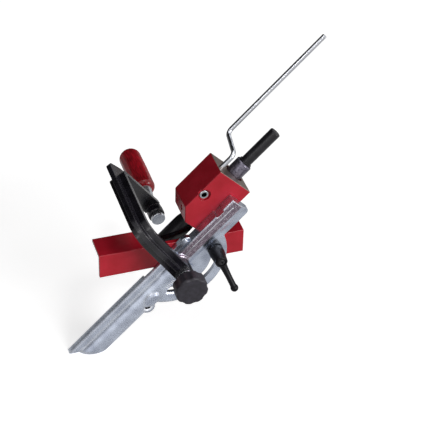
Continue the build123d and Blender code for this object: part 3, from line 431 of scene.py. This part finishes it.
def plainMetal(name, look):
    # turned or drawn metal: its colour clouds a little, and fine tool lines break up the gloss
    lineDepthMm = 0.1
    smoother, rougher = 0.8, 1.3  # how far its gloss wanders, as shares of the roughness
    material, tree, place, shader = startMaterial(name)
    cloud = addNode(tree, "ShaderNodeTexNoise", {
        "Vector": place, "Scale": perMetre(look["cloudMm"]), "Detail": 4.0})
    colour = addNode(tree, "ShaderNodeValToRGB", {"Fac": cloud.outputs["Fac"]},
                     stops=[(0.3, look["dark"]), (0.7, look["light"])])
    edge, rounded = edgeMaskAndRounding(tree, metres(look["edgeMm"]))
    # edges painted paler: partly rubbed wear, partly a painted highlight
    rubbedAndHighlit = addNode(tree, "ShaderNodeMix", {
        "Factor": edge, colourA: colour.outputs[0], colourB: hexColour(look["rubbedAndHighlit"])}, data_type="RGBA")
    lines = addNode(tree, "ShaderNodeTexNoise", {
        "Vector": place, "Scale": perMetre(look["lineMm"]), "Detail": 2.0})
    rough = addNode(tree, "ShaderNodeMapRange", {
        "Value": cloud.outputs["Fac"],
        "To Min": look["roughness"] * smoother, "To Max": look["roughness"] * rougher})
    bump = addNode(tree, "ShaderNodeBump", {
        "Height": lines.outputs["Fac"], "Strength": look["bump"],
        "Distance": metres(lineDepthMm), "Normal": rounded})
    if "socketMm" in look:  # the key's socket is painted dark as shade
        reach = farFrom(tree, place, look["socketAt"], (1, 0, 1))
        inside = addNode(tree, "ShaderNodeMath", {
            0: reach, 1: metres(look["socketMm"])}, operation="LESS_THAN")
        rubbedAndHighlit = addNode(tree, "ShaderNodeMix", {
            "Factor": inside.outputs[0],
            colourA: rubbedAndHighlit.outputs[colourOut], colourB: hexColour(look["socketShade"])}, data_type="RGBA")
    setInputs(tree, shader, {
        "Base Color": rubbedAndHighlit.outputs[colourOut], "Metallic": look.get("metallic", 1.0),
        "Roughness": rough.outputs[0], "Normal": bump.outputs[0]})
    return material


def blackFinish(name, look):
    # black coat over metal, or black moulded resin: near black, greyer at the edges, partly rubbed and partly
    # a painted highlight, its gloss set by how it was laid on
    skinDepthMm = 0.4
    smoother, rougher = 0.8, 1.25  # how far its gloss wanders, as shares of the roughness
    material, tree, place, shader = startMaterial(name)
    cloud = addNode(tree, "ShaderNodeTexNoise", {
        "Vector": place, "Scale": perMetre(look["cloudMm"]), "Detail": 4.0})
    colour = addNode(tree, "ShaderNodeValToRGB", {"Fac": cloud.outputs["Fac"]},
                     stops=[(0.3, look["dark"]), (0.7, look["light"])])
    edge, rounded = edgeMaskAndRounding(tree, metres(look["edgeMm"]))
    broken = addNode(tree, "ShaderNodeMath", {0: cloud.outputs["Fac"], 1: edge}, operation="MULTIPLY")
    # edges painted greyer: partly rubbed wear, partly a painted highlight
    rubbedAndHighlit = addNode(tree, "ShaderNodeMix", {
        "Factor": broken.outputs[0], colourA: colour.outputs[0], colourB: hexColour(look["rubbedAndHighlit"])},
        data_type="RGBA")
    skin = addNode(tree, "ShaderNodeTexNoise", {
        "Vector": place, "Scale": perMetre(look["skinMm"]), "Detail": 2.0})
    rough = addNode(tree, "ShaderNodeMapRange", {
        "Value": skin.outputs["Fac"],
        "To Min": look["roughness"] * smoother, "To Max": look["roughness"] * rougher})
    bump = addNode(tree, "ShaderNodeBump", {
        "Height": skin.outputs["Fac"], "Strength": look["bump"],
        "Distance": metres(skinDepthMm), "Normal": rounded})
    setInputs(tree, shader, {
        "Base Color": rubbedAndHighlit.outputs[colourOut], "Roughness": rough.outputs[0],
        "Normal": bump.outputs[0], "Specular IOR Level": look["specular"]})
    return material


def lacqueredBeech(name):
    # turned beech under a clear red lacquer: short dark flecks along the grain, deep wet gloss
    look = {"dark": "#74070F", "light": "#BC1226", "fleckMm": 1.1, "stretch": 9,
            "fleckStrength": 0.06, "fleckDepthMm": 0.2, "cloudMm": 24, "cloudShare": 0.25,
            "roughness": 0.36, "specular": 0.2, "coat": 0.5, "coatRoughness": 0.06}
    material, tree, place, shader = startMaterial(name)
    drawn = addNode(tree, "ShaderNodeMapping", {"Vector": place, "Scale": (1, 1 / look["stretch"], 1)})
    fleck = addNode(tree, "ShaderNodeTexNoise", {
        "Vector": drawn.outputs[0], "Scale": perMetre(look["fleckMm"]), "Detail": 4.0})
    cloud = addNode(tree, "ShaderNodeTexNoise", {
        "Vector": place, "Scale": perMetre(look["cloudMm"]), "Detail": 2.0})
    quiet = addNode(tree, "ShaderNodeMath", {
        0: cloud.outputs["Fac"], 1: look["cloudShare"]}, operation="MULTIPLY")
    blend = addNode(tree, "ShaderNodeMath", {
        0: fleck.outputs["Fac"], 1: 1 - look["cloudShare"], 2: quiet.outputs[0]}, operation="MULTIPLY_ADD")
    colour = addNode(tree, "ShaderNodeValToRGB", {"Fac": blend.outputs[0]},
                     stops=[(0.36, look["dark"]), (0.6, look["light"])])
    bump = addNode(tree, "ShaderNodeBump", {
        "Height": fleck.outputs["Fac"], "Strength": look["fleckStrength"],
        "Distance": metres(look["fleckDepthMm"])})
    setInputs(tree, shader, {
        "Base Color": colour.outputs[0], "Normal": bump.outputs[0],
        "Roughness": look["roughness"], "Specular IOR Level": look["specular"],
        "Coat Weight": look["coat"], "Coat Roughness": look["coatRoughness"]})
    return material


# thin bluish plate, a little cloudy, for fixings
zincPlate = plainMetal("zincPlatedSteel", {
    "dark": "#9FA2A8", "light": "#C6CAD0", "rubbedAndHighlit": "#E2E5EA", "cloudMm": 5, "lineMm": 0.6,
    "edgeMm": 0.4, "roughness": 0.26, "bump": 0.06})
# bare turned steel, bright and hardly clouded
brightSteel = plainMetal("brightTurnedSteel", {
    "dark": "#A9ACB2", "light": "#D2D6DC", "rubbedAndHighlit": "#F0F2F5", "cloudMm": 4, "lineMm": 0.5,
    "edgeMm": 0.5, "roughness": 0.3, "bump": 0.05})
# ground screw end, bright, its hex socket painted dark as shade
setScrewLow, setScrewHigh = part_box("rod_set_screw")
setScrewSteel = plainMetal("shadedSocketScrewSteel", {
    "dark": "#8F9096", "light": "#C9CCD2", "rubbedAndHighlit": "#F0F2F5", "cloudMm": 4, "lineMm": 0.5,
    "edgeMm": 0.5, "roughness": 0.24, "bump": 0.05,
    "socketMm": 3.4, "socketAt": (setScrewLow + setScrewHigh) / 2, "socketShade": "#141116"})
# drawn rod under hard chrome: long sharp light and dark streaks
chromedBar = plainMetal("chromedDrawnSteel", {
    "dark": "#BFC1C8", "light": "#D3D5DA", "rubbedAndHighlit": "#DADCE0", "cloudMm": 14, "lineMm": 3,
    "edgeMm": 0.2, "roughness": 0.2, "bump": 0.0})
# hardened in oil: violet grey, mottled, half bright
oiledSteel = plainMetal("oilBlackenedSteel", {
    "dark": "#4A4854", "light": "#8C8896", "rubbedAndHighlit": "#B6B2BE", "cloudMm": 2.6, "lineMm": 0.7,
    "edgeMm": 0.7, "roughness": 0.36, "bump": 0.15})
# raised marks on the casting, dull, painted near white and less metallic: partly scuffed pale, partly a
# painted highlight
paleTickSilumin = plainMetal("paleSiluminTickFinish", {
    "dark": "#F0F3FA", "light": "#FDFEFF", "rubbedAndHighlit": "#FFFFFF", "cloudMm": 3, "lineMm": 0.5,
    "edgeMm": 0.2, "roughness": 0.4, "bump": 0.05, "metallic": 0.25})
# turned brass, warm and satin
turnedBrass = plainMetal("turnedBrass", {
    "dark": "#A98A4E", "light": "#C9A868", "rubbedAndHighlit": "#DDBF80", "cloudMm": 4, "lineMm": 0.4,
    "edgeMm": 0.4, "roughness": 0.3, "bump": 0.1})
# hot black oxide on ground steel: black with a tight sheen
blackOxide = blackFinish("blackOxidedSteel", {
    "dark": "#0A090C", "light": "#1C1A20", "rubbedAndHighlit": "#5A565E", "cloudMm": 6, "skinMm": 0.8,
    "edgeMm": 0.5, "roughness": 0.28, "bump": 0.08, "specular": 0.4})
# enamel brushed over sand-cast iron: glossy, with a lumpy skin, its ribs greyed at the edges, partly rubbed
# and partly a painted highlight
ironEnamel = blackFinish("blackEnamelOnCastIron", {
    "dark": "#0E0D12", "light": "#211F27", "rubbedAndHighlit": "#5E5C66", "cloudMm": 14, "skinMm": 2.4,
    "edgeMm": 1.3, "roughness": 0.26, "bump": 0.25, "specular": 0.5})
# pressed phenolic: matt charcoal
mouldedResin = blackFinish("mouldedPhenolic", {
    "dark": "#1C1A20", "light": "#302D36", "rubbedAndHighlit": "#4A4750", "cloudMm": 5, "skinMm": 0.8,
    "edgeMm": 0.9, "roughness": 0.5, "bump": 0.25, "specular": 0.35})
# baked powder on a zinc casting: deep black, satin, finely pebbled
powderCoat = blackFinish("powderCoatOnZincCasting", {
    "dark": "#060508", "light": "#110F14", "rubbedAndHighlit": "#2A272D", "cloudMm": 4, "skinMm": 0.7,
    "edgeMm": 0.5, "roughness": 0.36, "bump": 0.2, "specular": 0.15})

dress(redEnamel("redEnamelOnSteel"), "fence_rail")
blockEnd = max(point.co.x + point.co.z for point in nodes["guide_block"].data.vertices) / math.sqrt(2)
dress(redEnamel("redEnamelWithBareEnd", sawnEnd=blockEnd), "guide_block")
dress(castSilumin("tumbledSiluminCasting"), "swing_arm")
dress(zincPlate, "pivot_bolt", "lever_stud", "block_studs", "arm_washer", "knob_washer", "lever_washer",
      "lever_insert", "pressure_pad", "pad_ring", "handle_end_washer")
dress(brightSteel, "handle_ferrule")
dress(setScrewSteel, "rod_set_screw")
dress(chromedBar, "depth_rod")
dress(oiledSteel, "guide_sleeve")
dress(turnedBrass, "knob_insert")
dress(blackOxide, "boring_bit", "shank_ring", "lever_screw")
dress(ironEnamel, "clamp_frame")
dress(mouldedResin, "clamp_knob")
dress(powderCoat, "lever_handle")
dress(lacqueredBeech("redLacqueredBeech"), "wooden_handle")
print("materials set")


# shared by the pieces below

def bridge(mesh, rings):  # quads between each ring of vertices and the next
    for near, far in zip(rings, rings[1:]):
        for side in range(len(near)):
            other = (side + 1) % len(near)
            mesh.faces.new((near[side], near[other], far[other], far[side]))


def finishPiece(name, mesh, sharpAbove=None):  # sharpAbove in degrees; without it every face stays flat
    bmesh.ops.recalc_face_normals(mesh, faces=mesh.faces)
    data = bpy.data.meshes.new(name)
    mesh.to_mesh(data)
    mesh.free()
    if sharpAbove is not None:
        data.polygons.foreach_set("use_smooth", [True] * len(data.polygons))
        data.set_sharp_from_angle(angle=math.radians(sharpAbove))
    return addToScene(name, data)


# clamp screw, turned from bar with a real coarse thread, swaged tang and riveted end

screwAxis, screwFront, screwBack = alongY("clamp_screw")
clampScrew = {
    "axis": screwAxis,  # x, z
    "front": screwFront,
    "back": screwBack,
    "tip": [  # distance behind the front, radius
        (0.0, 0.0), (0.0, 3.4), (0.6, 4.0), (1.6, 4.0), (1.6, 3.1), (3.0, 3.1), (3.0, 4.0), (5.1, 4.0)],
    "threadFrom": 5.1,
    "threadTo": 40.6,
    "rivet": [(1.05, 3.5), (1.0, 4.35), (0.35, 3.8), (0.05, 0.0)],  # distance before the back, radius
    "outerRadius": 4.98,
    "rootRadius": 4.0,
    "tangRadius": 3.5,
    "pitch": 3.0,
    "startTurn": 0.1333,  # where round the screw the thread begins
    "crest": 0.28,  # share of the pitch
    "flanks": 0.44,
    "runOut": 2.0,  # over which the thread fades at each end
    "stationsPerPitch": 12,
    "sides": 40,
    "sharpAbove": 35,
}


def threadRadius(behind, turn):
    phase = (behind / clampScrew["pitch"] + clampScrew["startTurn"] - turn) % 1.0
    flank = min(max((abs(phase - 0.5) * 2 - clampScrew["crest"]) / clampScrew["flanks"], 0.0), 1.0)
    begun = (behind - clampScrew["threadFrom"]) / clampScrew["runOut"]
    left = (clampScrew["threadTo"] - behind) / clampScrew["runOut"]
    depth = (clampScrew["outerRadius"] - clampScrew["rootRadius"]) * max(min(begun, left, 1.0), 0.0)
    return clampScrew["rootRadius"] + depth * (1.0 - flank)


def threadedScrew(name):
    mesh = bmesh.new()
    axisX, axisZ = clampScrew["axis"]
    sides = clampScrew["sides"]
    start, end = clampScrew["threadFrom"], clampScrew["threadTo"]
    length = clampScrew["back"] - clampScrew["front"]
    rivet = [(length - before, radius) for before, radius in clampScrew["rivet"]]
    tang = [(end, clampScrew["tangRadius"])] + rivet
    count = round((end - start) / clampScrew["pitch"] * clampScrew["stationsPerPitch"])
    stations = [(behind, [radius] * sides) for behind, radius in clampScrew["tip"][1:]]
    for step in range(1, count):
        behind = start + (end - start) * step / count
        stations.append((behind, [threadRadius(behind, side / sides) for side in range(sides)]))
    stations.append((end, [clampScrew["rootRadius"]] * sides))
    stations += [(behind, [radius] * sides) for behind, radius in tang[:-1]]
    rings = []
    for behind, radii in stations:
        ring = []
        for side, radius in enumerate(radii):
            angle = side / sides * math.tau
            ring.append(mesh.verts.new((
                metres(axisX + radius * math.sin(angle)),
                metres(clampScrew["front"] + behind),
                metres(axisZ + radius * math.cos(angle)))))
        rings.append(ring)
    bridge(mesh, rings)
    for ring, (behind, _) in ((rings[0], clampScrew["tip"][0]), (rings[-1], tang[-1])):
        middle = mesh.verts.new((metres(axisX), metres(clampScrew["front"] + behind), metres(axisZ)))
        for side in range(sides):
            mesh.faces.new((ring[side], ring[(side + 1) % sides], middle))
    return finishPiece(name, mesh, clampScrew["sharpAbove"])


screwPiece = threadedScrew("clampScrewThread")
screwPiece.data.materials.append(zincPlate)
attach(screwPiece, "screw")
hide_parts("clamp_screw")
print("clamp screw threaded")

# lever spring, round wire with flat closed ends

springAxis, springFront, springBack = alongY("lever_spring")
leverSpring = {
    "axis": springAxis,  # x, z
    "front": springFront,
    "back": springBack,
    "coilRadius": 3.5,
    "wireRadius": 0.4,
    "turns": 4,
    "endTurns": 0.6,
    "stepsPerTurn": 28,
    "wireSides": 10,
    "pressedShare": 0.45,
    "sharpAbove": 50,
}


def coilSpring(name):
    mesh = bmesh.new()
    axisX, axisZ = leverSpring["axis"]
    wire = leverSpring["wireRadius"]
    free = leverSpring["turns"] - 2 * leverSpring["endTurns"]
    travel = leverSpring["back"] - leverSpring["front"] - 2 * wire
    rings = []
    for step in range(leverSpring["turns"] * leverSpring["stepsPerTurn"] + 1):
        turn = step / leverSpring["stepsPerTurn"]
        climb = min(max((turn - leverSpring["endTurns"]) / free, 0.0), 1.0)
        middle = leverSpring["front"] + wire + travel * climb
        angle = turn * math.tau
        ring = []
        for side in range(leverSpring["wireSides"]):
            around = side / leverSpring["wireSides"] * math.tau
            radius = leverSpring["coilRadius"] + wire * math.cos(around)
            ring.append(mesh.verts.new((
                metres(axisX + radius * math.sin(angle)),
                metres(middle + wire * math.sin(around)),
                metres(axisZ + radius * math.cos(angle)))))
        rings.append(ring)
    bridge(mesh, rings)
    mesh.faces.new(rings[0])
    mesh.faces.new(rings[-1])
    return finishPiece(name, mesh, leverSpring["sharpAbove"])


springPiece = coilSpring("leverSpringCoil")
springPiece.data.materials.append(zincPlate)
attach(springPiece, "lever_base")
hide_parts("lever_spring")
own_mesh(springPiece)
print("lever spring wound")

# cast graduations on the limb's shoulder, beside the knob

graduations = {
    "first": -54.0,  # where the first one stands along the drilling axis
    "step": 2.5,
    "count": 6,
    "width": 1.1,
    "foot": 0.5,  # half the foot and half the crest, as shares of the width
    "crest": 0.3,
    "proud": 0.35,
    "sunk": 0.4,
    "shoulder": [  # across the drilling axis, y
        (-19.0, -18.46), (-20.3, -18.33), (-21.4, -18.1), (-22.5, -17.79), (-23.3, -17.51), (-24.1, -17.15)],
}


def castTicks(name):
    mesh = bmesh.new()
    foot, crest, width = graduations["foot"], graduations["crest"], graduations["width"]
    profile = ((-foot, -graduations["sunk"]), (-crest, graduations["proud"]),
               (crest, graduations["proud"]), (foot, -graduations["sunk"]))
    for tick in range(graduations["count"]):
        along = graduations["first"] + tick * graduations["step"]
        rings = [
            [mesh.verts.new(drillPoint(along + side * width, across, y - lift)) for side, lift in profile]
            for across, y in graduations["shoulder"]]
        bridge(mesh, rings)
        mesh.faces.new(rings[0])
        mesh.faces.new(rings[-1])
    return finishPiece(name, mesh)


tickPiece = castTicks("limbGraduations")
tickPiece.data.materials.append(paleTickSilumin)
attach(tickPiece, "arm")
print("graduations cast")
